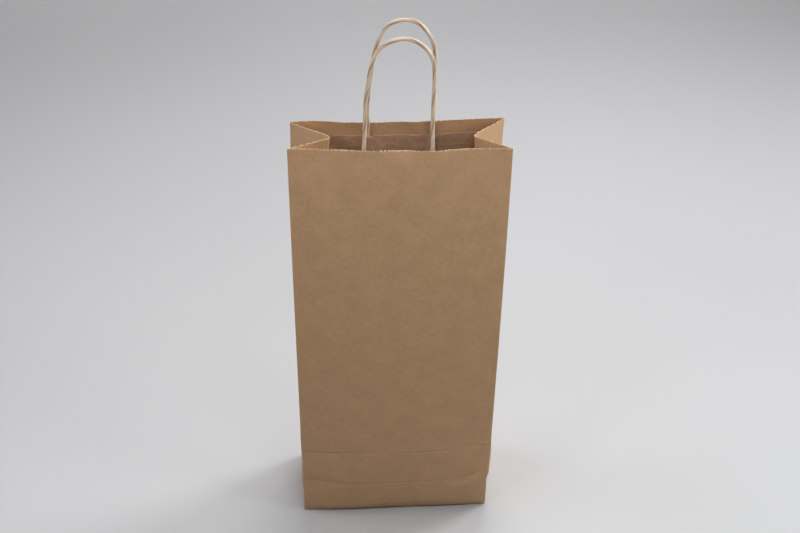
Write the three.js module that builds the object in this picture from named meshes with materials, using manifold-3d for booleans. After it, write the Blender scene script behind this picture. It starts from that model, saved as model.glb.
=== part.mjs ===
// Paper bottle bag: a kraft paper sack with tucked side gussets and a block bottom, two twisted paper
// handles, and the two paper patches that hold the handles inside the mouth.
// Millimetres, +Z up. The origin is the middle of the base and the front panel faces -Y.
import * as THREE from 'three';
import { mergeVertices } from 'three/addons/utils/BufferGeometryUtils.js';
import Module from 'manifold-3d';

const wasm = await Module();
wasm.setup();

// Sack, folded from one sheet
const PANEL_WIDTH = 180; // front and back panels, fold to fold
const GUSSET_DEPTH = 80; // side gussets, fold to fold, opened out flat
const BAG_HEIGHT = 390; // base to mouth
const PAPER = 0.2; // thickness of the sheet
const LEFT_TUCK = 31.5; // how far the left gusset crease is tucked in at the mouth
const RIGHT_TUCK = 26.5; // how far the right gusset crease is tucked in at the mouth
const GUSSET_SPREAD = 2; // how far both creases stand out where the corner creases of the base meet
const MOUTH_SET_BACK = 2; // how far the middle of the mouth stands behind the middle of the base
const FRONT_BOW = 3.5; // outward bow of the front panel at the mouth
const BACK_DISH = 4.5; // inward dish of the back panel at the mouth
const BELLY = 7; // outward bow of both panels at the cross crease above the base
const PRESS_DEPTH = 0.5; // of the line that the base, folded up flat, leaves across the front panel
const PRESS_WIDTH = 4; // of the same line
const FLAP_OVERLAP = 20; // glued band where the two base flaps overlap
const SEAM_LAP = 12; // width of the sheet's end lapped over the back panel
const PANEL_STEPS = 12; // facets across a panel
const WALL_STEPS = 8; // facets up the wall above the pressed line

// Handles, twisted paper cord
const CORD = 3.5; // diameter
const LEG_SPACING = 55; // between the two legs of a handle
const HANDLE_RISE = 90; // top of the loop above the mouth
const FRONT_LEAN = 3.8; // degrees that the front loop leans in over the mouth
const REAR_LEAN = 2.5; // degrees that the rear loop leans in over the mouth
const LEG_INSERT = 45; // length of a leg glued below the mouth
const FRONT_SHIFT = -2; // front handle's middle, off the middle of its panel
const REAR_SHIFT = 2.6; // rear handle's middle, off the middle of its panel
const CORD_SIDES = 8;
const CORD_STEP = 2.4; // length of a facet along the cord, in cord diameters
const LEG_STEPS = 3; // stretches of a leg below the mouth

// Patches glued over the handle ends
const PATCH_WIDTH = 136; // to both sides of the middle of its handle
const PATCH_HEIGHT = 46;
const PATCH_DROP = 12.5; // mouth to the patch's top edge
const PATCH_ROWS = 4; // facets down a patch
const HUMP_STEPS = 6; // facets on each flank of the hump over a leg
const FLAT_STEPS = 3; // facets along each flat stretch
const HUMP_REACH = 1.7 * CORD; // half width of the hump
const GLUE_GAP = 0.3; // clear film between a panel, the cords and the patch over them

const BASE = 2 * PAPER; // the two base flaps lie under the end folds
const CROSS_CREASE = GUSSET_DEPTH / 2; // crease where the base folds up flat
const PRESSED_LINE = GUSSET_DEPTH; // height of the line left by the folded base
const HALF_GUSSET = GUSSET_DEPTH / 2;
const MOUTH_MARGIN = 5; // height by which the hollow is cut past the mouth
const WELD = 1e-4; // distance within which corners are one corner

const FRONT = -1; // side of the front panel along Y
const BACK = 1; // side of the back panel along Y

// Loops of the handles, leg to leg: share of half the spacing, and share of the rise.
const FRONT_LOOP = [
  [-0.975, 0.16], [-0.95, 0.43], [-0.875, 0.61], [-0.77, 0.78], [-0.555, 0.91], [-0.145, 0.985],
  [0.26, 0.995], [0.67, 0.935], [0.91, 0.835], [0.985, 0.715], [0.98, 0.48], [0.975, 0.18],
];
const REAR_LOOP = [
  [-1.005, 0.18], [-0.945, 0.4], [-0.885, 0.54], [-0.81, 0.695], [-0.66, 0.845], [-0.375, 0.965],
  [0.02, 1.005], [0.45, 0.975], [0.775, 0.865], [0.95, 0.735], [0.995, 0.575], [1, 0.18],
];

function blend(from, to, share) {
  return from + (to - from) * share;
}

function spread(from, to, steps) {
  return Array.from({ length: steps + 1 }, (_, i) => blend(from, to, i / steps));
}

// A value that changes evenly from the base to the cross crease, and from there to the mouth.
function upTheWall(z, atBase, atCrease, atMouth) {
  if (z < CROSS_CREASE) {
    return blend(atBase, atCrease, (z - BASE) / (CROSS_CREASE - BASE));
  }
  return blend(atCrease, atMouth, (z - CROSS_CREASE) / (BAG_HEIGHT - CROSS_CREASE));
}

function setBackAt(z) {
  return upTheWall(z, 0, 0, MOUTH_SET_BACK);
}

function tuckAt(z, mouthTuck) {
  return upTheWall(z, 0, -GUSSET_SPREAD, mouthTuck);
}

function bowAt(side, z) {
  return upTheWall(z, 0, BELLY, side === FRONT ? FRONT_BOW : -BACK_DISH);
}

// Half the depth between the folds beside a gusset: each half of the gusset keeps its own width.
function halfDepthAt(z, mouthTuck) {
  return Math.sqrt(HALF_GUSSET ** 2 - tuckAt(z, mouthTuck) ** 2);
}

// Half the distance between the folds of a panel: the bowed panel keeps its own width.
function halfSpanAt(z) {
  return PANEL_WIDTH / 2 - (4 / 3) * bowAt(FRONT, z) ** 2 / PANEL_WIDTH;
}

// Depth of the line pressed across the front panel.
function pressAt(side, z) {
  if (side === BACK) {
    return 0;
  }
  return PRESS_DEPTH * Math.max(0, 1 - Math.abs(z - PRESSED_LINE) / (PRESS_WIDTH / 2));
}

// Distance of a panel's outer face from the middle of the base.
function panelFaceAt(side, x, z) {
  const share = x / halfSpanAt(z);
  const depth = blend(halfDepthAt(z, LEFT_TUCK), halfDepthAt(z, RIGHT_TUCK), (1 + share) / 2);
  return depth + side * setBackAt(z) + (bowAt(side, z) - pressAt(side, z)) * (1 - share ** 2);
}

// Outline of the sack at a height: front panel, right gusset, back panel, left gusset.
// The sheet's end laps over the back panel beside the left fold and adds its own thickness there.
function outlineAt(z, lap) {
  const span = halfSpanAt(z);
  const seam = SEAM_LAP - span;
  const points = [];
  for (const x of spread(-span, span, PANEL_STEPS)) {
    points.push(new THREE.Vector2(x, -panelFaceAt(FRONT, x, z)));
  }
  points.push(new THREE.Vector2(span - tuckAt(z, RIGHT_TUCK), setBackAt(z)));
  for (const x of spread(span, seam, PANEL_STEPS)) {
    points.push(new THREE.Vector2(x, panelFaceAt(BACK, x, z)));
  }
  points.push(new THREE.Vector2(seam - PAPER, panelFaceAt(BACK, seam - PAPER, z) + lap));
  points.push(new THREE.Vector2(-span, panelFaceAt(BACK, -span, z)));
  points.push(new THREE.Vector2(tuckAt(z, LEFT_TUCK) - span, setBackAt(z)));
  return points;
}

// An outline moved in by a distance, with its folds kept sharp.
function inset(points, distance) {
  return points.map((point, i) => {
    const before = point.clone().sub(points.at(i - 1)).normalize();
    const after = points[(i + 1) % points.length].clone().sub(point).normalize();
    const inward = new THREE.Vector2(-before.y - after.y, before.x + after.x).normalize();
    const reach = distance / (before.x * inward.y - before.y * inward.x);
    return point.clone().addScaledVector(inward, reach);
  });
}

function solidOf(vertices, triangles) {
  return new wasm.Manifold(new wasm.Mesh({
    numProp: 3,
    vertProperties: new Float32Array(vertices),
    triVerts: new Uint32Array(triangles),
  }));
}

function solidFrom(geometry) {
  geometry.deleteAttribute('normal');
  geometry.deleteAttribute('uv');
  const merged = mergeVertices(geometry, WELD);
  return solidOf(merged.attributes.position.array, merged.index.array);
}

function geometryOf(solid) {
  const mesh = solid.getMesh();
  const geometry = new THREE.BufferGeometry();
  geometry.setAttribute('position', new THREE.BufferAttribute(mesh.vertProperties, 3));
  geometry.setIndex(new THREE.BufferAttribute(mesh.triVerts, 1));
  return geometry;
}

// Solid skinned over outlines at rising heights, closed by flat ends.
// Facets split from the panel folds up to the gusset creases, so the base's corner creases are straight.
function loft(heights, outlines) {
  const count = outlines[0].length;
  const vertices = [];
  const triangles = [];
  outlines.forEach((outline, level) => {
    outline.forEach((point) => vertices.push(point.x, point.y, heights[level]));
  });
  const creases = [PANEL_STEPS + 1, count - 1];
  for (let level = 0; level < heights.length - 1; level += 1) {
    for (let i = 0; i < count; i += 1) {
      const a = level * count + i;
      const b = level * count + (i + 1) % count;
      const c = b + count;
      const d = a + count;
      if (creases.includes(i)) {
        triangles.push(a, b, d, b, c, d);
      } else {
        triangles.push(a, b, c, a, c, d);
      }
    }
  }
  const low = vertices.length / 3;
  const high = low + 1;
  const top = count * (heights.length - 1);
  vertices.push(0, 0, heights[0], 0, 0, heights.at(-1));
  for (let i = 0; i < count; i += 1) {
    const next = (i + 1) % count;
    triangles.push(low, next, i, high, top + i, top + next);
  }
  return solidOf(vertices, triangles);
}

// A base flap: it narrows at 45 degrees from the fold of its panel to its glued edge.
function baseFlap(side, low) {
  const fold = side * GUSSET_DEPTH / 2;
  const edge = -side * FLAP_OVERLAP / 2;
  const half = PANEL_WIDTH / 2;
  const narrow = half - Math.abs(edge - fold);
  const shape = new THREE.Shape([
    new THREE.Vector2(-half, fold),
    new THREE.Vector2(half, fold),
    new THREE.Vector2(narrow, edge),
    new THREE.Vector2(-narrow, edge),
  ]);
  const depth = BASE + PAPER / 2 - low;
  const geometry = new THREE.ExtrudeGeometry(shape, { depth, bevelEnabled: false });
  geometry.translate(0, 0, low);
  return solidFrom(geometry);
}

function buildSack() {
  const line = spread(PRESSED_LINE - PRESS_WIDTH / 2, PRESSED_LINE + PRESS_WIDTH / 2, 2);
  const wall = [CROSS_CREASE, ...line, ...spread(PRESSED_LINE, BAG_HEIGHT, WALL_STEPS).slice(1)];
  const outerHeights = [BASE, ...wall];
  const innerHeights = [BASE + PAPER, ...wall, BAG_HEIGHT + MOUTH_MARGIN];
  const outer = loft(outerHeights, outerHeights.map((z) => outlineAt(z, PAPER)));
  const hollow = loft(innerHeights, innerHeights.map((z) => inset(outlineAt(z, 0), PAPER)));
  const sack = outer.subtract(hollow);
  return geometryOf(sack.add(baseFlap(BACK, PAPER)).add(baseFlap(FRONT, 0)));
}

// A handle's centre line. Each leg lies against its panel's inner face up to the mouth.
function handleRoute(side, shift, leanAngle, loop) {
  const half = LEG_SPACING / 2;
  const lean = Math.tan(THREE.MathUtils.degToRad(leanAngle));
  const stand = PAPER + GLUE_GAP + CORD / 2;
  const standAt = (x, z) => panelFaceAt(side, x, z) - stand;
  const leg = spread(BAG_HEIGHT - LEG_INSERT, BAG_HEIGHT, LEG_STEPS);
  const left = leg.map((z) => new THREE.Vector3(shift - half, side * standAt(shift - half, z), z));
  const right = leg.map((z) => new THREE.Vector3(shift + half, side * standAt(shift + half, z), z)).reverse();
  const over = loop.map(([across, up]) => {
    const rise = up * HANDLE_RISE;
    const mouth = blend(left.at(-1).y, right[0].y, (1 + across) / 2);
    return new THREE.Vector3(shift + across * half, mouth - side * rise * lean, BAG_HEIGHT + rise);
  });
  return new THREE.CatmullRomCurve3([...left, ...over, ...right], false, 'centripetal');
}

function buildHandle(side, shift, leanAngle, loop) {
  const route = handleRoute(side, shift, leanAngle, loop);
  const section = new THREE.Shape(spread(0, 2 * Math.PI, CORD_SIDES).slice(1).map((turn) => (
    new THREE.Vector2(Math.cos(turn) * CORD / 2, Math.sin(turn) * CORD / 2)
  )));
  const steps = Math.round(route.getLength() / (CORD_STEP * CORD));
  return new THREE.ExtrudeGeometry(section, { steps, extrudePath: route, bevelEnabled: false });
}

// Height of a patch over its flat glued area, where it passes over a leg.
function humpAt(x, legs) {
  const away = Math.min(...legs.map((leg) => Math.abs(x - leg)));
  if (away >= HUMP_REACH) {
    return 0;
  }
  return (CORD + GLUE_GAP) * (1 + Math.cos(Math.PI * away / HUMP_REACH)) / 2;
}

function buildPatch(side, shift) {
  const legs = [shift - LEG_SPACING / 2, shift + LEG_SPACING / 2];
  const columns = [
    ...spread(shift - PATCH_WIDTH / 2, legs[0] - HUMP_REACH, FLAT_STEPS),
    ...spread(legs[0] - HUMP_REACH, legs[0] + HUMP_REACH, 2 * HUMP_STEPS).slice(1),
    ...spread(legs[0] + HUMP_REACH, legs[1] - HUMP_REACH, FLAT_STEPS).slice(1),
    ...spread(legs[1] - HUMP_REACH, legs[1] + HUMP_REACH, 2 * HUMP_STEPS).slice(1),
    ...spread(legs[1] + HUMP_REACH, shift + PATCH_WIDTH / 2, FLAT_STEPS).slice(1),
  ];
  const top = BAG_HEIGHT - PATCH_DROP;
  const vertices = [];
  const triangles = [];
  const rows = spread(top - PATCH_HEIGHT, top, PATCH_ROWS);
  const face = columns.length * rows.length;
  for (const ply of [PAPER + GLUE_GAP, PAPER + GLUE_GAP + PAPER]) {
    for (const z of rows) {
      columns.forEach((x) => vertices.push(x, side * (panelFaceAt(side, x, z) - ply - humpAt(x, legs)), z));
    }
  }
  const quad = (a, b, c, d) => {
    if (side === FRONT) {
      triangles.push(a, b, c, a, c, d);
    } else {
      triangles.push(a, c, b, a, d, c);
    }
  };
  const at = (row, column) => row * columns.length + column;
  for (let row = 0; row < PATCH_ROWS; row += 1) {
    for (let i = 0; i < columns.length - 1; i += 1) {
      const a = at(row, i);
      const b = at(row, i + 1);
      const c = at(row + 1, i + 1);
      const d = at(row + 1, i);
      quad(a, b, c, d);
      quad(face + b, face + a, face + d, face + c);
    }
  }
  for (let i = 0; i < columns.length - 1; i += 1) {
    quad(at(0, i + 1), at(0, i), face + at(0, i), face + at(0, i + 1));
    quad(at(PATCH_ROWS, i), at(PATCH_ROWS, i + 1), face + at(PATCH_ROWS, i + 1), face + at(PATCH_ROWS, i));
  }
  const last = columns.length - 1;
  for (let row = 0; row < PATCH_ROWS; row += 1) {
    quad(at(row, 0), at(row + 1, 0), face + at(row + 1, 0), face + at(row, 0));
    quad(at(row + 1, last), at(row, last), face + at(row, last), face + at(row + 1, last));
  }
  return geometryOf(solidOf(vertices, triangles));
}

function node(name, geometry, color) {
  const material = new THREE.MeshStandardMaterial({ color, roughness: 0.85, metalness: 0 });
  const mesh = new THREE.Mesh(geometry, material);
  mesh.name = name;
  return mesh;
}

const bag = new THREE.Group();
bag.name = 'paper_bottle_bag';
bag.add(node('bag', buildSack(), 0xb08a63));
bag.add(node('front_handle', buildHandle(FRONT, FRONT_SHIFT, FRONT_LEAN, FRONT_LOOP), 0xb9936c));
bag.add(node('rear_handle', buildHandle(BACK, REAR_SHIFT, REAR_LEAN, REAR_LOOP), 0xb9936c));
bag.add(node('front_patch', buildPatch(FRONT, FRONT_SHIFT), 0x967058));
bag.add(node('rear_patch', buildPatch(BACK, REAR_SHIFT), 0x967058));

export default bag;
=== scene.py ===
import math

import bmesh
import bpy
from mathutils import Matrix, Vector, noise


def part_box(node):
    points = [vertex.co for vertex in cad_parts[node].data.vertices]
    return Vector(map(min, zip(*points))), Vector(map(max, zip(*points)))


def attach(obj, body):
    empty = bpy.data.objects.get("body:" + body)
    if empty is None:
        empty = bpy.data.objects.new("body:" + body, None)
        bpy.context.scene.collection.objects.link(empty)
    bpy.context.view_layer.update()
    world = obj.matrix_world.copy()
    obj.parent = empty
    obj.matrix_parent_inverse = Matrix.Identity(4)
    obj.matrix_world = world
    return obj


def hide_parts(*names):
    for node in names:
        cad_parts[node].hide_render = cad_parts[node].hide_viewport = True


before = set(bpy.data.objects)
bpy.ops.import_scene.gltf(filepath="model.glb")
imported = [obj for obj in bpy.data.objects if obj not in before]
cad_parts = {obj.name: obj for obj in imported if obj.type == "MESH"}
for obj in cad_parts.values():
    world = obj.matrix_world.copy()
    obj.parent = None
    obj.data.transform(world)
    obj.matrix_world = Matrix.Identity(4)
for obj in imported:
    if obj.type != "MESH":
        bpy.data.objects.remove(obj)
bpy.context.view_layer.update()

# Sides of the bag, as signs along Y and X
FRONT = -1
BACK = 1
LEFT = -1
RIGHT = 1

# Sack, as the solids have it
BAG_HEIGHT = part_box("bag")[1][2]
PANEL_WIDTH = 0.180
GUSSET_DEPTH = 0.080
PAPER = 0.0002
MOUTH_TUCK = {LEFT: 0.0315, RIGHT: 0.0265}
GUSSET_SPREAD = 0.002
MOUTH_SET_BACK = 0.002
MOUTH_BOW = {FRONT: 0.0035, BACK: -0.0045}
BELLY = 0.007
SEAM_LAP = 0.012
FLAP_OVERLAP = 0.020
BASE = 2 * PAPER
HALF_PANEL = PANEL_WIDTH / 2
HALF_GUSSET = GUSSET_DEPTH / 2
CROSS_CREASE = HALF_GUSSET
PRESSED_LINE = GUSSET_DEPTH
PANEL_FOLDS = {FRONT: ("front_left", "front_right"), BACK: ("back_left", "back_right")}

# Handles, as the solids have them, with leans in degrees
CORD = 0.0035
LEG_SPACING = 0.055
HALF_SPACING = LEG_SPACING / 2
HANDLE_RISE = 0.090
LEG_INSERT = 0.045
LEG_STEPS = 3
LEG_SHIFT = {FRONT: -0.002, BACK: 0.0026}
HANDLE_LEAN = {FRONT: 3.8, BACK: 2.5}
GLUE_GAP = 0.0003
ROUTE_PIECES = 16

# Points of the loops, from left to right: share of half the spacing, share of the rise
FRONT_LOOP = [
    (-0.975, 0.16), (-0.95, 0.43), (-0.875, 0.61), (-0.77, 0.78), (-0.555, 0.91), (-0.145, 0.985),
    (0.26, 0.995), (0.67, 0.935), (0.91, 0.835), (0.985, 0.715), (0.98, 0.48), (0.975, 0.18),
]
REAR_LOOP = [
    (-1.005, 0.18), (-0.945, 0.4), (-0.885, 0.54), (-0.81, 0.695), (-0.66, 0.845), (-0.375, 0.965),
    (0.02, 1.005), (0.45, 0.975), (0.775, 0.865), (0.95, 0.735), (0.995, 0.575), (1, 0.18),
]
LOOP = {FRONT: FRONT_LOOP, BACK: REAR_LOOP}

# Patches, as the solids have them
PATCH_WIDTH = 0.136
PATCH_HEIGHT = 0.046
PATCH_DROP = 0.0125
PATCH_TOP = BAG_HEIGHT - PATCH_DROP
HUMP_REACH = 1.7 * CORD

# Where the folds and gusset creases meet the mouth, from where the solids have them
MOUTH_SHIFT = {
    "front_left": Vector((-0.0004, 0.0006)),
    "front_right": Vector((-0.0005, 0.0008)),
    "back_right": Vector((0.0018, -0.0012)),
    "back_left": Vector((0.0001, 0.0003)),
    "left_crease": Vector((0.0023, -0.0048)),
    "right_crease": Vector((-0.0021, -0.0040)),
}

# How far the folds stand out: the front ones above the base, the right one at it, and the rear left one
# below the mouth
LEFT_SPREAD = 0.0005
RIGHT_SPREAD = 0.0009
RIGHT_FOOT = -0.0005
BACK_LEFT_OUT = 0.0008
BACK_LEFT_PULL = 0.03

# Gusset creases at the mouth: how low they lie, how far and how near to them the paper rounds out,
# and the bow of the rear half beside them
CREASE_DROP = 0.0005
CREASE_ROUND = 0.0009
CREASE_OPEN = 0.0022
NOSE = {LEFT: 0.0023, RIGHT: 0.0009}

# Outward bow of the panels at the mouth: share of the half width, metres. It fades over MOUTH_HOLD.
FRONT_HELD_BOW = [
    (-1, 0), (-0.8, 0.0002), (-0.6, 0.0012), (-0.45, 0.0025), (-0.328, 0.0030), (-0.1, 0.0039),
    (0.08, 0.0053), (0.284, 0.0030), (0.47, 0.0012), (0.66, -0.0006), (0.9, -0.0006), (1, 0),
]
BACK_HELD_BOW = [
    (-1, 0), (-0.8, 0.0015), (-0.6, -0.0009), (-0.5, -0.0028), (-0.37, -0.0028), (-0.277, -0.0041),
    (0.02, -0.0035), (0.17, -0.0050), (0.335, -0.0036), (0.5, -0.0025), (0.8, -0.0009), (1, 0),
]
HELD_BOW = {FRONT: FRONT_HELD_BOW, BACK: BACK_HELD_BOW}
MOUTH_HOLD = 0.075

# Outward bow of the panels at the cross crease and at the pressed line
CROSS_BOW = 0.0070
LINE_BOW = 0.0088

# Hold of the handle's legs on a panel: how far from a leg it ends, over what width it fades, and how far
# below the legs it starts
LEG_HOLD = 0.0144
LEG_HOLD_FADE = 0.009
LEG_HOLD_RISE = 0.03

# Bulges of the left gusset beside the front fold: height, reach, how far out
LEFT_BULGES = [(0.034, 0.007, 0.0018), (0.092, 0.018, 0.0011)]

# Bulge of the right gusset beside the front fold
RIGHT_BULGE = 0.0030
RIGHT_BULGE_LOW = 0.035
RIGHT_BULGE_RISE = 0.005
RIGHT_BULGE_TOP = 0.110
RIGHT_BULGE_FADE = 0.060

# Creases of the front panel over the base and at the pressed line, from left to right: place across, height
# up the sheet, depth, and how far they fade above and below
CROSS_PRESS = [
    (-0.090, 0.0418, 0.0008, 0.014, 0.016), (-0.072, 0.0410, 0.0018, 0.012, 0.016),
    (-0.056, 0.0400, 0.0012, 0.010, 0.012), (-0.050, 0.0396, 0.0006, 0.0024, 0.005),
    (-0.030, 0.0394, 0.0004, 0.0026, 0.003), (-0.020, 0.0396, 0.0004, 0.004, 0.0022),
    (0.004, 0.0397, 0.0005, 0.003, 0.0022), (0.015, 0.0406, 0.0006, 0.0026, 0.0022),
    (0.050, 0.0404, 0.0006, 0.0026, 0.0022), (0.058, 0.0402, 0.0005, 0.004, 0.003),
    (0.066, 0.0415, 0.0008, 0.006, 0.004), (0.072, 0.0432, 0.0010, 0.006, 0.004),
    (0.078, 0.0462, 0.0010, 0.0026, 0.005), (0.084, 0.0468, 0.0010, 0.0026, 0.006),
    (0.090, 0.0456, 0.0010, 0.0026, 0.006),
]
LINE_PRESS = [
    (-0.090, 0.0785, 0.0008, 0.0022, 0.009), (-0.054, 0.0792, 0.0008, 0.0022, 0.009),
    (-0.046, 0.0797, 0.0005, 0.005, 0.0022), (-0.018, 0.0802, 0.0005, 0.005, 0.0022),
    (-0.013, 0.0802, 0.0, 0.004, 0.003), (-0.003, 0.0802, 0.0, 0.003, 0.003),
    (0.014, 0.0802, 0.0007, 0.0024, 0.0024), (0.049, 0.0800, 0.0008, 0.0024, 0.0022),
    (0.052, 0.0803, 0.0001, 0.003, 0.003), (0.066, 0.0820, 0.0003, 0.004, 0.0024),
    (0.078, 0.0820, 0.0003, 0.004, 0.0024), (0.082, 0.0803, 0.0009, 0.0024, 0.005),
    (0.090, 0.0801, 0.0009, 0.0024, 0.005),
]

# Ridge under the right end of the crease over the base, with rises as depths below zero
BASE_RIDGE = [
    (0.046, 0.0330, 0.0, 0.008, 0.022), (0.056, 0.0325, -0.0017, 0.008, 0.022),
    (0.070, 0.0345, -0.0022, 0.009, 0.022), (0.084, 0.0400, 0.0, 0.007, 0.022),
]

# Creases of the back panel and of the gussets
BACK_CREASE = 0.0005
GUSSET_CREASE = 0.0003
CREASE_REACH = 0.0026

# Foot of the panels, where they round under to the base: its height at the ends and in the middle, place and
# width of the middle as shares of the half width, how far it goes in, how upright the wall is, and the roll
FOOT_END = 0.011
FOOT_MIDDLE = 0.019
FOOT_CENTRE = 0.2
FOOT_WIDTH = 0.5
FOOT_TUCK = 0.0025
FOOT_UPRIGHT = 0.8
BASE_ROLL = 0.0015

# Unevenness of the sheet: height, waves per metre along it and up it, seed
WAVES = [(0.00045, 14, 9, 1.7), (0.00017, 45, 38, 6.1)]
WAVE_FOOT = 0.03

# Powers that end the creases and the unevenness of a panel at its folds
CREASE_END = 40
WAVE_END = 6

# Dent in the front rim between the handle's legs: its ends, the width over which it returns, how far down
# it goes and how deep it is
DENT_LEFT = -0.0175
DENT_RIGHT = 0.0105
DENT_RETURN = 0.010
DENT_DROP = 0.020
DENT_DEPTH = 0.0034

# Seam lap, where it rises over the back panel
LAP_STAND = 1.4 * PAPER
LAP_RISE = 0.001

# Parts of the sheet from its one side to the other: name, width, step between columns
SECTIONS = [
    ("back", PANEL_WIDTH, 0.0015),
    ("right_rear", HALF_GUSSET, 0.002),
    ("right_front", HALF_GUSSET, 0.002),
    ("front", PANEL_WIDTH, 0.001),
    ("left_front", HALF_GUSSET, 0.002),
    ("left_rear", HALF_GUSSET, 0.002),
    ("lap", SEAM_LAP, 0.0015),
]
FRONT_MIDDLE = PANEL_WIDTH + GUSSET_DEPTH + HALF_PANEL
FOLD_COLUMNS = (0.0003, 0.0008, 0.0014)

# Halves of the gussets: side, whether it is the front half, whether it runs from its fold to the crease
GUSSET_HALVES = {
    "right_rear": (RIGHT, False, True),
    "right_front": (RIGHT, True, False),
    "left_front": (LEFT, True, True),
    "left_rear": (LEFT, False, False),
}

# Rows up the sheet as heights, or as first height, step and number, and below the rim as drops
FOOT_ROWS = [
    0.0, 0.0003, 0.0007, 0.0011, 0.0016, 0.0022, 0.003, 0.004, 0.0053, 0.007, 0.009, 0.0115, 0.0145,
    0.019, 0.024, 0.029, 0.0335,
]
CROSS_ROWS = (0.0365, 0.0007, 20)
STRIP_ROWS = [0.0535, 0.058, 0.063, 0.068, 0.0725]
LINE_ROWS = (0.0745, 0.0007, 16)
OVER_LINE_ROWS = [0.088, 0.092]
WALL_ROWS = (0.098, 0.00603, 47)
RIM_ROWS = [0.011, 0.0075, 0.0045, 0.0025, 0.0013, 0.0006, 0.0]

# Base: faces across and along its flaps, how far its ends fit in, and where it lies in the paper's pattern
FLAP_GRID = (20, 6)
END_GRID = (8, 12)
END_INSET = 0.0006
END_HALF = 0.99 * HALF_GUSSET
BASE_PATTERN_SHIFT = -0.2
BASE_PATTERN_LAYER = 0.5

# Cut edge of the mouth: every third column is cut down by a random share of a tooth.
# A random pattern along the sheet has a mean, a contrast, spots per metre and a seed.
TOOTH = 0.0013
BACK_TOOTH = 0.0006
TOOTH_BAND = 0.0045
TOOTH_COLUMNS = 3
TEETH = (0.5, 1.3, 45, 3)

# Paleness, from 0 to 1, and how far it reaches: rubbed paper along folds, the cut edge along the rim with a
# painted highlight, and a paler, yellower tint on the gussets
RUB_REACH = 0.0007
FOLD_PALE = 0.12
PALE_BAND = 0.0009
RIM_SPOTS = (0.65, 2.0, 400, 8)
GUSSET_RIM = 0.6
GUSSET_PALE = {"right_rear": 0.13, "left_rear": 0.13, "right_front": 0.08}

# Paleness of the front rim, a paler cut edge with a painted highlight: share of the half width, from 0 to 1
FRONT_RIM = [
    (-1, 0.45), (-0.72, 0.5), (-0.62, 1), (-0.48, 1), (-0.4, 0.45), (-0.26, 0.5), (-0.2, 1), (0.06, 1),
    (0.12, 0.45), (0.27, 0.5), (0.36, 0.95), (0.64, 0.95), (0.72, 0.55), (1, 0.5),
]

# Twist of the cords: length of one turn, steps around and along, and heights of its strands, valleys, pleats
# and lumps as shares of the radius
TWIST = 0.048
CORD_SIDES = 24
CORD_STEP = 0.0009
STRAND = 0.955
VALLEY = 0.20
VALLEY_POWER = 3
PLEATS = 5
PLEAT_RISE = 0.015
PLEAT_DRIFT = 4
DRIFTS_PER_METRE = 60
DRIFT_SEED = 2.0
LUMP_RISE = 0.03
LUMPS_PER_METRE = 110
LUMP_SEED = 4

# Look of the patches: faces across and up, wrinkles as rise and waves per metre across and up,
# pale rubbed edges, a painted highlight on the crests, and where they lie in the paper's pattern
PATCH_GRID = (196, 46)
CRINKLE_RISE = 0.0003
CRINKLES = [(CRINKLE_RISE, 50, 120), (0.6 * CRINKLE_RISE, 190, 260)]
CRINKLE_WIDTH = 0.25
CRINKLE_SEED = 9
PATCH_PALE = 0.25
PATCH_RUB = 0.0005
CREST_PAINTED_HIGHLIGHT = 0.25
PATCH_PATTERN_SHIFT = 2
PATCH_PATTERN_LAYER = 0.3

# Colours, as linear red, green and blue
KRAFT_COLOURS = {
    "dark": (0.385, 0.231, 0.124, 1), "light": (0.475, 0.288, 0.158, 1),
    "pale": (0.80, 0.62, 0.40, 1), "darkest": (0.22, 0.12, 0.06, 1),
}
PATCH_COLOURS = {
    "dark": (0.315, 0.186, 0.117, 1), "light": (0.39, 0.237, 0.154, 1),
    "pale": (0.58, 0.41, 0.28, 1), "darkest": (0.18, 0.10, 0.06, 1),
}
# On the cord, the darkest colour is only the painted shade in its grooves, and the pale one only the painted
# highlight on its ridges
CORD_COLOURS = {
    "dark": (0.345, 0.23, 0.142, 1), "light": (0.485, 0.342, 0.222, 1),
    "pale": (0.70, 0.57, 0.44, 1), "darkest": (0.20, 0.12, 0.07, 1),
}
FLOOR_DARK = (0.43, 0.43, 0.44, 1)
FLOOR_LIGHT = (0.445, 0.445, 0.455, 1)
WHITE = (1, 1, 1)

# Ranges of a noise that are spread over a material's own ranges
TONE_RANGE = (0.35, 0.65)
SURFACE_RANGE = (0.3, 0.7)

# Kraft paper: waves per metre, detail and roughness of each noise, and its weight in the tone
CLOUDS = (55, 4, 0.6)
MOTTLE = (230, 3, 0.6)
GRAIN = (1500, 2, 0.6)
CLOUD_WEIGHT = 0.5
MOTTLE_WEIGHT = 0.35
GRAIN_WEIGHT = 0.15
WEAR_AND_HIGHLIGHT_STRENGTH = 0.92

# Surface of kraft paper, with the distance and strength of its bump
KRAFT_ROUGHNESS = (0.72, 0.86)
KRAFT_SPECULAR = 0.3
KRAFT_BUMP = (0.00012, 0.28)

# Fibres: angle on the sheet, and waves per metre along, across and through it.
# Their range is of the noise, then of their strength.
PALE_FIBRES = (28, (260, 2400, 1))
DARK_FIBRES = (-47, (280, 2300, 1))
FIBRE_DETAIL = 2
FIBRE_RANGE = (0.60, 0.76, 0, 0.35)

# Flecks: cells per metre, size as a share of a cell, and share of the cells that have one.
# Their strength is full inside the core.
LONG_FLECKS = (210, 0.14, 0.2)
LONG_FLECK_ANGLES = (15, 75, -40)
LONG_FLECK_STRETCH = (1, 0.3, 1)
LONG_FLECK_STRENGTH = 0.6
DARK_SPECKS = (110, 0.07, 0.04)
DARK_SPECK_STRENGTH = 0.9
PALE_SPECKS = (120, 0.09, 0.06)
PALE_SPECK_STRENGTH = 0.8
FLECK_CORE = 0.4
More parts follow.
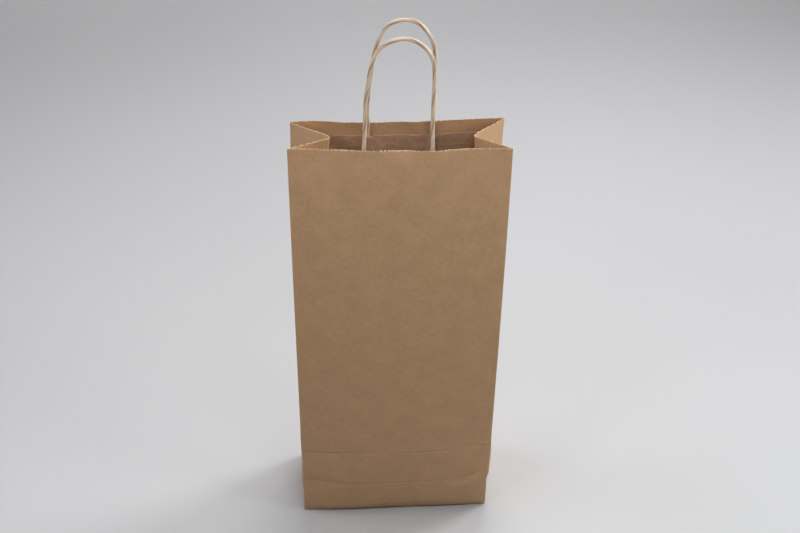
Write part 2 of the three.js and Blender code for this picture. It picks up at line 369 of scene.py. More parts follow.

# Cord: waves per metre along it, per turn around it and from cord to cord, and weights in the tone.
# Painted shade in the grooves and a painted highlight on the ridges have ranges of height, then of strength.
STREAKS = (90, 9, 5)
STREAK_DETAIL = 3
STREAK_ROUGHNESS = 0.6
STREAK_WEIGHT = 0.7
CORD_GRAIN = (900, 30, 7)
CORD_GRAIN_DETAIL = 2
CORD_GRAIN_WEIGHT = 0.3
GROOVE_PAINTED_SHADE = (0.0, 0.7, 0.95, 0.0)
RIDGE_PAINTED_HIGHLIGHT = (0.8, 1.0, 0.0, 0.45)

# Surface of the cord, with the distance and strength of its bump
CORD_ROUGHNESS = (0.40, 0.55)
CORD_SPECULAR = 0.6
CORD_SHEEN = 0.5
CORD_BUMP = (0.0002, 0.4)

# Camera of the photograph, with angles in degrees
IMAGE_WIDTH = 800
FOCAL_PIXELS = 1024.7
SENSOR_WIDTH = 36.0
CAMERA_PLACE = (-0.04997, -0.75865, 0.76290)
CAMERA_YAW = -3.985
CAMERA_PITCH = 33.445
CAMERA_ROLL = 1.078

# Stage
FLOOR_HALF = 6
FLOOR_DROP = 0.0002
FLOOR_CLOUDS = (1.5, 2)
FLOOR_ROUGHNESS = 0.7
WORLD_STRENGTH = 0.02
LIT_POINT = (0, 0, 0.2)


def blend(low, high, share):
    return low + (high - low) * share


def clamp(value):
    return min(1.0, max(0.0, value))


def ease(value):
    share = clamp(value)
    return share * share * (3 - 2 * share)


def along(path, place):
    """Values of a path of straight stretches at a place, which is the first value of each point."""
    for low, high in zip(path, path[1:]):
        if place <= high[0]:
            share = clamp((place - low[0]) / (high[0] - low[0]))
            return [blend(a, b, share) for a, b in zip(low[1:], high[1:])]
    return path[-1][1:]


def slope_at(points, i):
    """Slope of a curve at one of its points, from the points beside it."""
    (a, low), (b, high) = points[max(0, i - 1)], points[min(len(points) - 1, i + 1)]
    return (high - low) / (b - a)


def through(points, place):
    """Height of a smooth curve through points at a place."""
    i = 0
    while i < len(points) - 2 and place > points[i + 1][0]:
        i += 1
    (a, low), (b, high) = points[i], points[i + 1]
    t = clamp((place - a) / (b - a))
    rise = (b - a) * (slope_at(points, i) * t * (1 - t) ** 2 - slope_at(points, i + 1) * t * t * (1 - t))
    return blend(low, high, t * t * (3 - 2 * t)) + rise


def uneven(u, pattern):
    """A random value from 0 to 1 along the sheet."""
    mean, contrast, density, seed = pattern
    return clamp(mean + contrast * noise.noise(Vector((u * density, 0, seed))))


# The sack as the solids have it

def wall_share(z):
    """How far up a height is from the cross crease to the mouth, from 0 to 1."""
    return clamp((z - CROSS_CREASE) / (BAG_HEIGHT - CROSS_CREASE))


def up_the_wall(z, at_base, at_crease, at_mouth):
    """A value that changes evenly from the base to the cross crease, and from there to the mouth."""
    if z < CROSS_CREASE:
        return blend(at_base, at_crease, (z - BASE) / (CROSS_CREASE - BASE))
    return blend(at_crease, at_mouth, wall_share(z))


def set_back(z):
    return up_the_wall(z, 0, 0, MOUTH_SET_BACK)


def tuck(side, z):
    return up_the_wall(z, 0, -GUSSET_SPREAD, MOUTH_TUCK[side])


def solid_bow(side, z):
    return up_the_wall(z, 0, BELLY, MOUTH_BOW[side])


def half_depth(side, z):
    return math.sqrt(HALF_GUSSET ** 2 - tuck(side, z) ** 2)


def half_span(z):
    """Half the distance between the folds of a panel, which keeps its own width as it bows."""
    # A shallow arc is longer than its chord by 8/3 of its bow squared over its length
    return HALF_PANEL - (4 / 3) * solid_bow(FRONT, z) ** 2 / PANEL_WIDTH


def solid_face(side, x, z):
    """Distance of a panel's outer face from the middle of the base."""
    share = x / half_span(z)
    depth = blend(half_depth(LEFT, z), half_depth(RIGHT, z), (1 + share) / 2)
    return depth + side * set_back(z) + solid_bow(side, z) * (1 - share ** 2)


# The sack as the paper stands

def fold_points(z):
    """Where the four folds and the two gusset creases pass a height."""
    span = half_span(z)
    left = half_depth(LEFT, z)
    right = half_depth(RIGHT, z)
    points = {
        "front_left": Vector((-span, -left)),
        "front_right": Vector((span, -right)),
        "back_right": Vector((span, right)),
        "back_left": Vector((-span, left)),
        "left_crease": Vector((tuck(LEFT, z) - span, 0)),
        "right_crease": Vector((span - tuck(RIGHT, z), 0)),
    }
    opened = ease((z - CROSS_CREASE) / CROSS_CREASE)
    points["front_left"].x -= opened * LEFT_SPREAD
    points["front_right"].x += blend(RIGHT_FOOT, RIGHT_SPREAD, opened)
    points["back_left"].x -= BACK_LEFT_OUT * ease((BAG_HEIGHT - z) / BACK_LEFT_PULL) * opened
    back = Vector((0, set_back(z)))
    return {name: point + back + wall_share(z) * MOUTH_SHIFT[name] for name, point in points.items()}


def foot_bow(share, z, at_cross):
    """Bow of a panel below the cross crease, where its foot rounds under to the base."""
    foot = blend(FOOT_END, FOOT_MIDDLE, math.exp(-((share - FOOT_CENTRE) / FOOT_WIDTH) ** 2))
    up = math.sqrt(1 - (1 - clamp(z / foot)) ** 2)
    upright = at_cross * blend(z / CROSS_CREASE, 1, FOOT_UPRIGHT)
    return blend(upright, FOOT_TUCK * (share ** 4 - 1), 1 - up)


def panel_bow(side, share, z):
    """Outward bow of a panel between its folds."""
    at_cross = CROSS_BOW * (1 - share ** 4)
    if z < CROSS_CREASE:
        return foot_bow(share, z, at_cross)
    round_bow = 1 - share ** 2
    at_line = LINE_BOW * round_bow
    if z < PRESSED_LINE:
        return blend(at_cross, at_line, (z - CROSS_CREASE) / (PRESSED_LINE - CROSS_CREASE))
    held = through(HELD_BOW[side], share)
    at_mouth = blend(MOUTH_BOW[side] * round_bow, held, ease((z - BAG_HEIGHT) / MOUTH_HOLD + 1))
    return blend(at_line, at_mouth, (z - PRESSED_LINE) / (BAG_HEIGHT - PRESSED_LINE))


def from_leg(side, x):
    """Distance across from the nearer leg of a handle."""
    return abs(abs(x - LEG_SHIFT[side]) - HALF_SPACING)


def near_legs(side, x, z):
    """How firmly a panel is held to the handle's legs, from 0 to 1."""
    low = BAG_HEIGHT - LEG_INSERT - LEG_HOLD_RISE
    return ease((LEG_HOLD - from_leg(side, x)) / LEG_HOLD_FADE) * ease((z - low) / LEG_HOLD_RISE)


def groove(distance, above, below):
    """Profile of a pressed crease, from 0 to 1."""
    reach = above if distance > 0 else below
    return max(0.0, 1 - abs(distance) / reach) ** 2


def crease_depth(side, x, v):
    """Depth of the creases across a panel."""
    if side == BACK:
        return BACK_CREASE * groove(v - CROSS_CREASE, CREASE_REACH, CREASE_REACH)
    total = 0.0
    for path in (CROSS_PRESS, LINE_PRESS, BASE_RIDGE):
        height, depth, above, below = along(path, x)
        total += depth * groove(v - height, above, below)
    return total


def rim_dent(x, v):
    """How far the front rim is pushed in between the handle's legs: a flat facet that narrows downward."""
    down = (BAG_HEIGHT - v) / DENT_DROP
    across = (x - DENT_LEFT) / (DENT_RIGHT - DENT_LEFT)
    return DENT_DEPTH * max(0.0, across - down) * ease((DENT_RIGHT - x) / DENT_RETURN + 0.5)


def wave(u, v):
    """Gentle unevenness of the sheet, in metres, fading out toward the base."""
    total = 0.0
    for height, across, up, seed in WAVES:
        total += height * noise.noise(Vector((u * across, v * up, seed)))
    return ease(v / WAVE_FOOT) * total


def panel_place(side, share, u, v, z, folds):
    """Outer face of a panel, as x and y: share runs from -1 at its left fold to 1 at its right one."""
    left, right = PANEL_FOLDS[side]
    place = folds[left].lerp(folds[right], (1 + share) / 2)
    out = panel_bow(side, share, z) - (1 - share ** CREASE_END) * crease_depth(side, place.x, v)
    out += (1 - share ** WAVE_END) * wave(u, v)
    if side == FRONT:
        out -= rim_dent(place.x, v)
    free = side * place.y + out
    held = solid_face(side, place.x, z)
    return Vector((place.x, side * blend(free, held, near_legs(side, place.x, z))))


def side_bulge(side, share, v):
    """How far the front half of a gusset stands out beside the folded base: share is 1 at the crease."""
    across = math.sin(math.pi * math.sqrt(share))
    if side == LEFT:
        total = sum(out * math.exp(-((v - height) / reach) ** 2) for height, reach, out in LEFT_BULGES)
        return across * total
    rise = ease((v - RIGHT_BULGE_LOW) / RIGHT_BULGE_RISE)
    return RIGHT_BULGE * across * rise * ease((RIGHT_BULGE_TOP - v) / RIGHT_BULGE_FADE)


def gusset_place(side, front_half, share, u, v, folds):
    """Outer face of half a gusset, as x and y: share runs from 0 at the fold to 1 at the crease."""
    hand = "left" if side == LEFT else "right"
    fold = folds[("front_" if front_half else "back_") + hand]
    crease = folds[hand + "_crease"]
    across = (crease - fold).normalized()
    normal = Vector((-across.y, across.x))
    if normal.x * side < 0:
        normal.negate()
    corner = share * HALF_GUSSET
    dip = sum(groove(v - height, CREASE_REACH, CREASE_REACH) for height in (CROSS_CREASE, corner))
    out = math.sin(math.pi * share) * (wave(u, v) - GUSSET_CREASE * min(1.0, dip))
    opened = ease(wall_share(v))
    if not front_half:
        out -= NOSE[side] * opened ** 2 * math.sin(math.pi * share ** 3)
    place = fold.lerp(crease, share) + normal * out
    if front_half:
        place.x += side * side_bulge(side, share, v)
    place.x += side * CREASE_ROUND * opened * groove((1 - share) * HALF_GUSSET, CREASE_OPEN, CREASE_OPEN)
    return place


def rolled(v, roll):
    """Height, and how far in, the sheet is where it rolls under at the base."""
    if v >= roll:
        return v, 0.0
    turn = (1 - v / roll) * math.pi / 2
    return roll * (1 - math.sin(turn)), roll * (1 - math.cos(turn))


def sheet_point(section, share, u, v):
    """A point of the sheet's outer face."""
    z, inset = rolled(v, BASE_ROLL)
    folds = fold_points(max(z, BASE))
    drop = 0.0
    if section == "front":
        place = panel_place(FRONT, 1 - 2 * share, u, v, z, folds)
        place.y += inset
    elif section == "back":
        place = panel_place(BACK, 2 * share - 1, u, v, z, folds)
        place.y -= inset
    elif section == "lap":
        over = share * SEAM_LAP
        place = panel_place(BACK, 2 * over / PANEL_WIDTH - 1, over, v, z, folds)
        place.y += LAP_STAND * ease(over / LAP_RISE) - inset
    else:
        side, front_half, inward = GUSSET_HALVES[section]
        to_crease = share if inward else 1 - share
        place = gusset_place(side, front_half, to_crease, u, v, folds)
        place.x -= side * inset
        drop = CREASE_DROP * to_crease * wall_share(v)
    return Vector((place.x, place.y, z - drop))


# Grid of the sheet

def columns():
    """Columns of the sheet: section, share across it, distance along the sheet and to the nearer fold."""
    result = []
    start = 0.0
    for name, width, step in SECTIONS:
        count = round(width / step)
        places = {0.0, width}
        places.update(width * i / count for i in range(1, count))
        for near in FOLD_COLUMNS:
            places.update((near, width - near))
        if result:
            places.remove(0.0)
        for place in sorted(places):
            fold = place if name == "lap" else min(place, width - place)
            result.append((name, place / width, start + place, fold))
        start += width
    return result


def even_rows(first, step, number):
    return [first + step * i for i in range(number)]


def rows():
    """Heights of the grid up the sheet, closer together at the base, the creases and the mouth."""
    low = FOOT_ROWS + even_rows(*CROSS_ROWS) + STRIP_ROWS + even_rows(*LINE_ROWS) + OVER_LINE_ROWS
    return low + even_rows(*WALL_ROWS) + [BAG_HEIGHT - drop for drop in RIM_ROWS]


def tooth_at(section, u, v):
    """How far the sheet is cut down between two teeth of the mouth."""
    full = BACK_TOOTH if section in ("back", "lap") else TOOTH
    return full * uneven(u, TEETH) * clamp(1 - (BAG_HEIGHT - v) / TOOTH_BAND)


def rim_wear_and_highlight(section, share, u):
    """How pale the cut edge is at the mouth, from 0 to 1: a paler raw edge with a painted highlight where
    the edge catches light.
    """
    if section in ("back", "lap"):
        return 0.0
    if section == "front":
        (pale,) = along(FRONT_RIM, 1 - 2 * share)
        return pale * uneven(u, RIM_SPOTS)
    if section == "right_front":
        return GUSSET_RIM * (1 - share)
    return GUSSET_RIM


def wear_and_highlight_at(section, share, u, fold, v, tooth):
    """Paleness from 0 to 1: rubbed paper along folds, the cut edge at the mouth with a painted highlight
    and, less, a paler, yellower tint on the gussets.
    """
    folded = FOLD_PALE * math.exp(-fold / RUB_REACH)
    band = math.exp(-((BAG_HEIGHT - v) / PALE_BAND) ** 2)
    # Paler cut edge with a painted highlight, less where the edge is cut down between teeth
    rim = rim_wear_and_highlight(section, share, u) * band * (1 - tooth / TOOTH)
    return max(folded, rim, GUSSET_PALE.get(section, 0.0))


# Meshes

def new_builder():
    """An empty mesh, with layers for each point's place in the paper's pattern and for its wear and painted
    light.
    """
    builder = bmesh.new()
    sheet = builder.verts.layers.float_vector.new("sheet")
    wear_and_painted_light = builder.verts.layers.float.new("wear_and_painted_light")
    return builder, sheet, wear_and_painted_light


def new_object(name, builder, material):
    """A smooth object from a mesh that is being built."""
    mesh = bpy.data.meshes.new(name)
    builder.to_mesh(mesh)
    builder.free()
    for polygon in mesh.polygons:
        polygon.use_smooth = True
    mesh.materials.append(material)
    obj = bpy.data.objects.new(name, mesh)
    bpy.context.scene.collection.objects.link(obj)
    return obj


def thicken(obj, offset):
    """Give a sheet the paper's thickness: offset -1 puts it behind the faces, and 1 in front of them."""
    thick = obj.modifiers.new("thickness", "SOLIDIFY")
    thick.thickness = PAPER
    thick.offset = offset


def add_grid(builder, lines, sheet, wear_and_painted_light, flip=False):
    """A grid of points, given as lines of (point, place in the pattern, wear and painted highlight), as
    faces of the mesh.
    """
    grid = []
    for line in lines:
        verts = []
        for point, place, wear_and_highlight in line:
            vert = builder.verts.new(point)
            vert[sheet] = place
            vert[wear_and_painted_light] = wear_and_highlight
            verts.append(vert)
        grid.append(verts)
    for low, high in zip(grid, grid[1:]):
        for i in range(len(low) - 1):
            corners = (low[i], high[i], high[i + 1], low[i + 1])
            builder.faces.new(reversed(corners) if flip else corners)


# Sack

def add_flap(builder, sheet, wear_and_painted_light, outline, z):
    """A long flap of the base: outline gives the place and half width of its fold and of its cut edge."""
    (fold, half_fold), (edge, half_edge) = outline
    across, down = FLAP_GRID
    lines = []
    for i in range(down + 1):
        share = i / down
        y = blend(fold, edge, share)
        half = blend(half_fold, half_edge, share)
        line = []
        for j in range(across + 1):
            x = blend(-half, half, j / across)
            wear_and_highlight = math.exp(-min(abs(y - edge), abs(half - abs(x))) / RUB_REACH)
            pattern = Vector((x, y + BASE_PATTERN_SHIFT, BASE_PATTERN_LAYER))
            line.append((Vector((x, y, z)), pattern, wear_and_highlight))
        lines.append(line)
    add_grid(builder, lines, sheet, wear_and_painted_light, flip=edge < fold)


def add_end_flap(builder, sheet, wear_and_painted_light, side):
    """The end of the base, folded in from a gusset."""
    across, down = END_GRID
    lines = []
    for i in range(across + 1):
        x = side * (HALF_PANEL - END_INSET - HALF_GUSSET * i / across)
        line = []
        for j in range(down + 1):
            y = blend(-END_HALF, END_HALF, j / down)
            pattern = Vector((x + side, y + BASE_PATTERN_SHIFT, BASE_PATTERN_LAYER))
            line.append((Vector((x, y, BASE)), pattern, 0.0))
        lines.append(line)
    add_grid(builder, lines, sheet, wear_and_painted_light, flip=side == LEFT)


def add_base(builder, sheet, wear_and_painted_light):
    """The two long flaps, one over the other, and the two ends inside them."""
    inner = HALF_GUSSET - BASE_ROLL
    half = HALF_PANEL - BASE_ROLL
    narrow = HALF_PANEL - HALF_GUSSET - FLAP_OVERLAP / 2
    add_flap(builder, sheet, wear_and_painted_light, ((-inner, half), (FLAP_OVERLAP / 2, narrow)), 0.0)
    add_flap(builder, sheet, wear_and_painted_light, ((inner, half), (-FLAP_OVERLAP / 2, narrow)), PAPER)
    for side in (LEFT, RIGHT):
        add_end_flap(builder, sheet, wear_and_painted_light, side)


def make_bag(material):
    builder, sheet, wear_and_painted_light = new_builder()
    across = columns()
    lines = []
    for v in rows():
        line = []
        for i, (section, share, u, fold) in enumerate(across):
            tooth = tooth_at(section, u, v) if i % TOOTH_COLUMNS == 0 else 0.0
            point = sheet_point(section, share, u, v - tooth)
            line.append((point, Vector((u, v, 0)), wear_and_highlight_at(section, share, u, fold, v, tooth)))
        lines.append(line)
    add_grid(builder, lines, sheet, wear_and_painted_light)
    add_base(builder, sheet, wear_and_painted_light)
    bag = new_object("bag_sheet", builder, material)
    thicken(bag, -1)
    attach(bag, "root")
    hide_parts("bag")


# Handles

def smooth_route(points, pieces):
    """Centripetal Catmull-Rom curve through points."""
    ends = [2 * points[0] - points[1]] + points + [2 * points[-1] - points[-2]]
    route = []
    for a, b, c, d in zip(ends, ends[1:], ends[2:], ends[3:]):
        gaps = [math.sqrt((q - p).length) for p, q in ((a, b), (b, c), (c, d))]
        start = (b - a) / gaps[0] - (c - a) / (gaps[0] + gaps[1]) + (c - b) / gaps[1]
        stop = (c - b) / gaps[1] - (d - b) / (gaps[1] + gaps[2]) + (d - c) / gaps[2]
        start = start * gaps[1]
        stop = stop * gaps[1]
        for i in range(pieces):
            t = i / pieces
            square = (3 * (c - b) - 2 * start - stop) * t * t
            cube = (2 * (b - c) + start + stop) * t ** 3
            route.append(b + start * t + square + cube)
    route.append(points[-1])
    return route


def handle_route(side):
    """A handle's centre line, from the points that the solids follow."""
    shift = LEG_SHIFT[side]
    lean = math.tan(math.radians(HANDLE_LEAN[side]))
    stand = PAPER + GLUE_GAP + CORD / 2
    heights = [BAG_HEIGHT - LEG_INSERT * (LEG_STEPS - i) / LEG_STEPS for i in range(LEG_STEPS + 1)]
    legs = []
    for x in (shift - HALF_SPACING, shift + HALF_SPACING):
        legs.append([Vector((x, side * (solid_face(side, x, z) - stand), z)) for z in heights])
    left, right = legs[0], legs[1][::-1]
    over = []
    for across, up in LOOP[side]:
        rise = up * HANDLE_RISE
        mouth = blend(left[-1].y, right[0].y, (1 + across) / 2)
        over.append(Vector((shift + across * HALF_SPACING, mouth - side * rise * lean, BAG_HEIGHT + rise)))
    return smooth_route(left + over + right, ROUTE_PIECES)


def resampled(route, step):
    """The same line with points a step apart."""
    result = [route[0]]
    left = step
    for a, b in zip(route, route[1:]):
        length = (b - a).length
        while length >= left:
            a = a.lerp(b, left / length)
            length -= left
            result.append(a)
            left = step
        left -= length
    result.append(route[-1])
    return result


def cord_frames(route):
    """Each point of a route, with two directions across the route and its length so far."""
    normal = None
    length = 0.0
    for i, point in enumerate(route):
        ahead = route[min(i + 1, len(route) - 1)]
        behind = route[max(i - 1, 0)]
        tangent = (ahead - behind).normalized()
        if normal is None:
            normal = tangent.orthogonal().normalized()
        normal = (normal - tangent * normal.dot(tangent)).normalized()
        if i:
            length += (point - route[i - 1]).length
        yield point, normal, tangent.cross(normal), length


def strand_at(side, turn, length):
    """A cord's radius, its phase in the twist and how deep in a groove it is, at a turn around the cord."""
    phase = turn - math.tau * length / TWIST
    valley = (1 - abs(math.cos(phase))) ** VALLEY_POWER
    drift = noise.noise(Vector((length * DRIFTS_PER_METRE, DRIFT_SEED, side)))
    pleat = math.cos(PLEATS * phase + PLEAT_DRIFT * drift)
    around = math.sin(turn) + LUMP_SEED * side
    lump = noise.noise(Vector((length * LUMPS_PER_METRE, math.cos(turn), around)))
    radius = CORD / 2 * (STRAND - VALLEY * valley + PLEAT_RISE * pleat + LUMP_RISE * lump)
    return radius, phase, valley


def make_handle(name, node, side, material):
    route = resampled(handle_route(side), CORD_STEP)
    builder, sheet, wear_and_painted_light = new_builder()
    rings = []
    for point, normal, across, length in cord_frames(route):
        ring = []
        for j in range(CORD_SIDES):
            turn = math.tau * j / CORD_SIDES
            radius, phase, valley = strand_at(side, turn, length)
            vert = builder.verts.new(point + radius * (math.cos(turn) * normal + math.sin(turn) * across))
            vert[sheet] = Vector((length, phase / math.tau, side))
            # 1 on the strands' crests and lower in the grooves: this sets the cord's painted highlight and
            # painted shade
            vert[wear_and_painted_light] = 1 - valley
            ring.append(vert)
        rings.append(ring)
    for low, high in zip(rings, rings[1:]):
        for j in range(CORD_SIDES):
            k = (j + 1) % CORD_SIDES
            builder.faces.new((low[j], low[k], high[k], high[j]))
    builder.faces.new(rings[0][::-1])
    builder.faces.new(rings[-1])
    cord = new_object(name, builder, material)
    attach(cord, "root")
    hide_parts(node)
    tuple(route[0])
    [tuple(point) for point in route]


# Patches

def hump(side, x):
    """How far a patch stands off the wall where it passes over a leg."""
    away = from_leg(side, x)
    if away >= HUMP_REACH:
        return 0.0
    return (CORD + GLUE_GAP) * (1 + math.cos(math.pi * away / HUMP_REACH)) / 2


def crinkle(side, x, z):
    """Sharp wrinkles of a patch, which stand off the wall."""
    total = 0.0
    for rise, across, up in CRINKLES:
        away = abs(noise.noise(Vector((x * across, z * up, CRINKLE_SEED + side))))
        total += rise * max(0.0, 1 - away / CRINKLE_WIDTH) ** 2
    return total


def patch_point(side, x, z, folds):
    """A point of a patch, its place in the pattern and its paleness: wear at its edges and a painted
    highlight on its wrinkle crests.
    """
    left, right = (folds[fold].x for fold in PANEL_FOLDS[side])
    share = 2 * (x - left) / (right - left) - 1
    u = HALF_PANEL * (1 + share) if side == BACK else FRONT_MIDDLE - HALF_PANEL * share
    wall = panel_place(side, share, u, z, z, folds)
    crest = crinkle(side, x, z)
    stand = PAPER + GLUE_GAP + hump(side, x) + crest
    edge = min(PATCH_TOP - z, z - PATCH_TOP + PATCH_HEIGHT, PATCH_WIDTH / 2 - abs(x - LEG_SHIFT[side]))
    # Pale rubbed edges, and a painted highlight on the wrinkle crests
    wear_and_highlight = PATCH_PALE * math.exp(-edge / PATCH_RUB) + CREST_PAINTED_HIGHLIGHT * crest / CRINKLE_RISE
    pattern = Vector((x + PATCH_PATTERN_SHIFT, z, PATCH_PATTERN_LAYER * side))
    return Vector((x, wall.y - side * stand, z)), pattern, wear_and_highlight


def make_patch(name, node, side, material):
    builder, sheet, wear_and_painted_light = new_builder()
    across, up = PATCH_GRID
    half = PATCH_WIDTH / 2
    places = [LEG_SHIFT[side] + blend(-half, half, j / across) for j in range(across + 1)]
    lines = []
    for i in range(up + 1):
        z = PATCH_TOP - PATCH_HEIGHT + PATCH_HEIGHT * i / up
        folds = fold_points(z)
        lines.append([patch_point(side, x, z, folds) for x in places])
    add_grid(builder, lines, sheet, wear_and_painted_light, flip=side == FRONT)
    patch = new_object(name, builder, material)
    thicken(patch, 1)
    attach(patch, "root")
    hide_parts(node)


# Materials

class Graph:
    """A material's nodes, made one at a time."""

    def __init__(self, name):
        self.material = bpy.data.materials.new(name)
        self.material.use_nodes = True
        self.tree = self.material.node_tree
        self.surface = self.tree.nodes["Principled BSDF"]

    def add(self, kind, inputs=None, **settings):
        node = self.tree.nodes.new(kind)
        for key, value in settings.items():
            setattr(node, key, value)
        for key, value in (inputs or {}).items():
            self.put(node.inputs[key], value)
        return node

    def put(self, socket, value):
        if isinstance(value, bpy.types.NodeSocket):
            self.tree.links.new(value, socket)
        else:
            socket.default_value = value

    def set(self, name, value):
        """Give one of the shader's own sockets a value or a link."""
        self.put(self.surface.inputs[name], value)

    def attribute(self, name):
        return self.add("ShaderNodeAttribute", attribute_name=name)

    def calculate(self, operation, *values):
        node = self.add("ShaderNodeMath", operation=operation)
        for socket, value in zip(node.inputs, values):
            self.put(socket, value)
        return node.outputs[0]

    def weighted(self, *terms):
        """Sum of values times their weights."""
        total = None
        for value, weight in terms:
            part = self.calculate("MULTIPLY", value, weight)
            total = part if total is None else self.calculate("ADD", total, part)
        return total

    def span(self, value, low, high, to_low=0.0, to_high=1.0):
        node = self.add("ShaderNodeMapRange", {
            "Value": value, "From Min": low, "From Max": high, "To Min": to_low, "To Max": to_high,
        })
        return node.outputs["Result"]

    def mix(self, share, first, second):
        node = self.add("ShaderNodeMix", data_type="RGBA")
        self.put(node.inputs["Factor"], share)
        colours = [socket for socket in node.inputs if socket.type == "RGBA"]
        self.put(colours[0], first)
        self.put(colours[1], second)
        return [socket for socket in node.outputs if socket.type == "RGBA"][0]

    def tint(self, colour, share, strength, other):
        """A colour with some of another over it, where a pattern's share says so."""
        return self.mix(self.calculate("MULTIPLY", share, strength), colour, other)

    def noise(self, vector, scale, detail=2.0, roughness=0.5):
        node = self.add("ShaderNodeTexNoise", {
            "Vector": vector, "Scale": scale, "Detail": detail, "Roughness": roughness,
        })
        return node.outputs["Fac"]

    def turned(self, vector, angle, scale):
        """A pattern's place, turned and then scaled."""
        node = self.add("ShaderNodeMapping", {"Vector": vector}, vector_type="TEXTURE")
        node.inputs["Rotation"].default_value = (0, 0, math.radians(angle))
        node.inputs["Scale"].default_value = [1 / factor for factor in scale]
        return node.outputs["Vector"]

    def flecks(self, vector, scale, size, share):
        """Small spots in some of the cells of a random pattern."""
        cells = self.add("ShaderNodeTexVoronoi", {"Vector": vector, "Scale": scale})
        spot = self.span(cells.outputs["Distance"], size, FLECK_CORE * size)
        chance = self.add("ShaderNodeSeparateColor", {"Color": cells.outputs["Color"]}).outputs
        chosen = self.calculate("GREATER_THAN", chance["Red"], 1 - share)
        return self.calculate("MULTIPLY", spot, self.calculate("MULTIPLY", chosen, chance["Green"]))

    def bump(self, height, distance, strength):
        node = self.add("ShaderNodeBump", {"Height": height, "Distance": distance, "Strength": strength})
        self.set("Normal", node.outputs["Normal"])


def kraft_material(name, dark, light, pale, darkest):
    """Kraft paper: cloudy pulp, fine grain, fibres lying two ways, flecks and specks."""
    graph = Graph(name)
    sheet = graph.attribute("sheet").outputs["Vector"]
    wear_and_highlight_mask = graph.attribute("wear_and_painted_light").outputs["Fac"]
    clouds = graph.noise(sheet, *CLOUDS)
    mottle = graph.noise(sheet, *MOTTLE)
    grain = graph.noise(sheet, *GRAIN)
    pale_fibres = graph.noise(graph.turned(sheet, *PALE_FIBRES), 1, FIBRE_DETAIL)
    dark_fibres = graph.noise(graph.turned(sheet, *DARK_FIBRES), 1, FIBRE_DETAIL)
    tone = graph.weighted((clouds, CLOUD_WEIGHT), (mottle, MOTTLE_WEIGHT), (grain, GRAIN_WEIGHT))
    colour = graph.mix(graph.span(tone, *TONE_RANGE), dark, light)
    colour = graph.mix(graph.span(pale_fibres, *FIBRE_RANGE), colour, pale)
    colour = graph.mix(graph.span(dark_fibres, *FIBRE_RANGE), colour, darkest)
    for angle in LONG_FLECK_ANGLES:
        spots = graph.flecks(graph.turned(sheet, angle, LONG_FLECK_STRETCH), *LONG_FLECKS)
        colour = graph.tint(colour, spots, LONG_FLECK_STRENGTH, darkest)
    colour = graph.tint(colour, graph.flecks(sheet, *DARK_SPECKS), DARK_SPECK_STRENGTH, darkest)
    colour = graph.tint(colour, graph.flecks(sheet, *PALE_SPECKS), PALE_SPECK_STRENGTH, pale)
    # Paler over rubbed folds and edges, with a painted highlight along the mouth's cut edge and on the
    # patches' wrinkle crests, and a paler tint on the gussets
    colour = graph.tint(colour, wear_and_highlight_mask, WEAR_AND_HIGHLIGHT_STRENGTH, pale)
    graph.set("Base Color", colour)
    graph.set("Roughness", graph.span(clouds, *SURFACE_RANGE, *KRAFT_ROUGHNESS))
    graph.set("Specular IOR Level", KRAFT_SPECULAR)
    fibres = graph.calculate("MAXIMUM", pale_fibres, dark_fibres)
    graph.bump(graph.calculate("ADD", grain, fibres), *KRAFT_BUMP)
    return graph.material


def cord_material(name, dark, light, pale, darkest):
    """Kraft strip twisted into a cord: streaks follow the twist, the grooves get painted shade and the
    ridges a painted highlight.
    """
    graph = Graph(name)
    sheet = graph.attribute("sheet").outputs["Vector"]
    ridge = graph.attribute("wear_and_painted_light").outputs["Fac"]
    streaks = graph.noise(graph.turned(sheet, 0, STREAKS), 1, STREAK_DETAIL, STREAK_ROUGHNESS)
    grain = graph.noise(graph.turned(sheet, 0, CORD_GRAIN), 1, CORD_GRAIN_DETAIL)
    tone = graph.weighted((streaks, STREAK_WEIGHT), (grain, CORD_GRAIN_WEIGHT))
    colour = graph.mix(graph.span(tone, *TONE_RANGE), dark, light)
    # Painted shade in the grooves, then a painted highlight on the ridges
    colour = graph.mix(graph.span(ridge, *GROOVE_PAINTED_SHADE), colour, darkest)
    colour = graph.mix(graph.span(ridge, *RIDGE_PAINTED_HIGHLIGHT), colour, pale)
    graph.set("Base Color", colour)
    graph.set("Roughness", graph.span(streaks, *SURFACE_RANGE, *CORD_ROUGHNESS))
    graph.set("Specular IOR Level", CORD_SPECULAR)
    graph.set("Sheen Weight", CORD_SHEEN)
    graph.bump(graph.calculate("ADD", streaks, grain), *CORD_BUMP)
    return graph.material


# Stage

def add_camera():
    yaw, pitch, roll = (math.radians(angle) for angle in (CAMERA_YAW, CAMERA_PITCH, CAMERA_ROLL))
    level = math.cos(pitch)
    ahead = Vector((-math.sin(yaw) * level, math.cos(yaw) * level, -math.sin(pitch)))
    right = Vector((math.cos(yaw), math.sin(yaw), 0))
    above = right.cross(ahead)
    turned_right = math.cos(roll) * right + math.sin(roll) * above
    turned_up = math.cos(roll) * above - math.sin(roll) * right
    turn = Matrix((turned_right, turned_up, -ahead)).transposed()
    data = bpy.data.cameras.new("camera")
    data.sensor_fit = "HORIZONTAL"
    data.sensor_width = SENSOR_WIDTH
    data.lens = SENSOR_WIDTH * FOCAL_PIXELS / IMAGE_WIDTH
    camera = bpy.data.objects.new("camera", data)
    camera.matrix_world = Matrix.Translation(CAMERA_PLACE) @ turn.to_4x4()
    bpy.context.scene.collection.objects.link(camera)
    bpy.context.scene.camera = camera


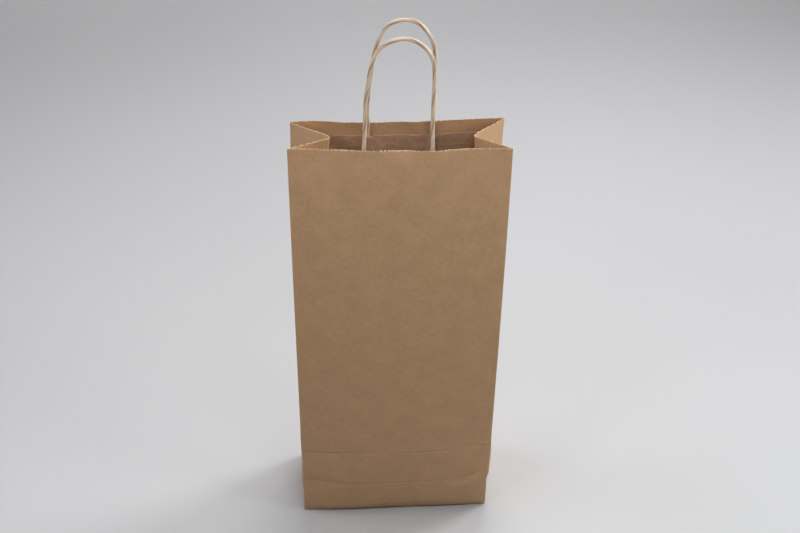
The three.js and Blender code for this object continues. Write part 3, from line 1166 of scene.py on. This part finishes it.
def add_floor():
    graph = Graph("pale_floor")
    place = graph.add("ShaderNodeTexCoord").outputs["Object"]
    tone = graph.span(graph.noise(place, *FLOOR_CLOUDS), *SURFACE_RANGE)
    graph.set("Base Color", graph.mix(tone, FLOOR_DARK, FLOOR_LIGHT))
    graph.set("Roughness", FLOOR_ROUGHNESS)
    builder = bmesh.new()
    bmesh.ops.create_grid(builder, x_segments=8, y_segments=8, size=FLOOR_HALF)
    floor = new_object("floor", builder, graph.material)
    floor.location.z = -FLOOR_DROP


def add_light(name, place, size, power, target=LIT_POINT, colour=WHITE, spread=180):
    data = bpy.data.lights.new(name, "AREA")
    data.shape = "DISK"
    data.size = size
    data.energy = power
    data.color = colour
    data.spread = math.radians(spread)
    light = bpy.data.objects.new(name, data)
    light.location = place
    light.rotation_euler = (Vector(target) - Vector(place)).to_track_quat("-Z", "Y").to_euler()
    light.visible_camera = False
    bpy.context.scene.collection.objects.link(light)


def add_lights():
    world = bpy.data.worlds.new("studio")
    world.use_nodes = True
    background = world.node_tree.nodes["Background"]
    background.inputs["Color"].default_value = (*WHITE, 1)
    background.inputs["Strength"].default_value = WORLD_STRENGTH
    bpy.context.scene.world = world
    add_light("front", place=(0.1, -0.42, 0.72), size=0.25, power=0.92)
    add_light("left", place=(-0.55, -0.45, 0.75), size=0.3, power=1.72)
    add_light("right", place=(0.65, -0.3, 0.62), size=0.3, power=1.9, colour=(0.94, 1.0, 0.95))
    add_light("back_right", place=(2.4, 1.35, 1.25), size=1.35, power=10.5, spread=60)
    add_light("back", place=(0.2, 1.0, 1.4), size=1.0, power=13.8)
    add_light("back_left", place=(-1.2, 0.2, 1.5), size=1.0, power=8.0)
    add_light("top", place=(0, 0.05, 1.1), size=0.3, power=2.6)
    for x in (-0.9, 0, 0.9):
        add_light("backdrop", place=(x, 2.1, 0.7), size=0.8, power=4, target=(x, 2.1, 0))
    for x, y in ((-2.6, 0.2), (2.6, 0.2), (0, -2.8)):
        add_light("far_floor", place=(x, y, 1.2), size=1.8, power=10, target=(x, y, 0))


add_camera()
cord_paper = cord_material("cord", **CORD_COLOURS)
make_handle("front_handle_cord", "front_handle", FRONT, cord_paper)
make_handle("rear_handle_cord", "rear_handle", BACK, cord_paper)
make_bag(kraft_material("kraft", **KRAFT_COLOURS))
patch_paper = kraft_material("patch", **PATCH_COLOURS)
make_patch("front_patch_paper", "front_patch", FRONT, patch_paper)
make_patch("rear_patch_paper", "rear_patch", BACK, patch_paper)
add_floor()
add_lights()
bpy.context.scene.view_settings.view_transform = "Standard"
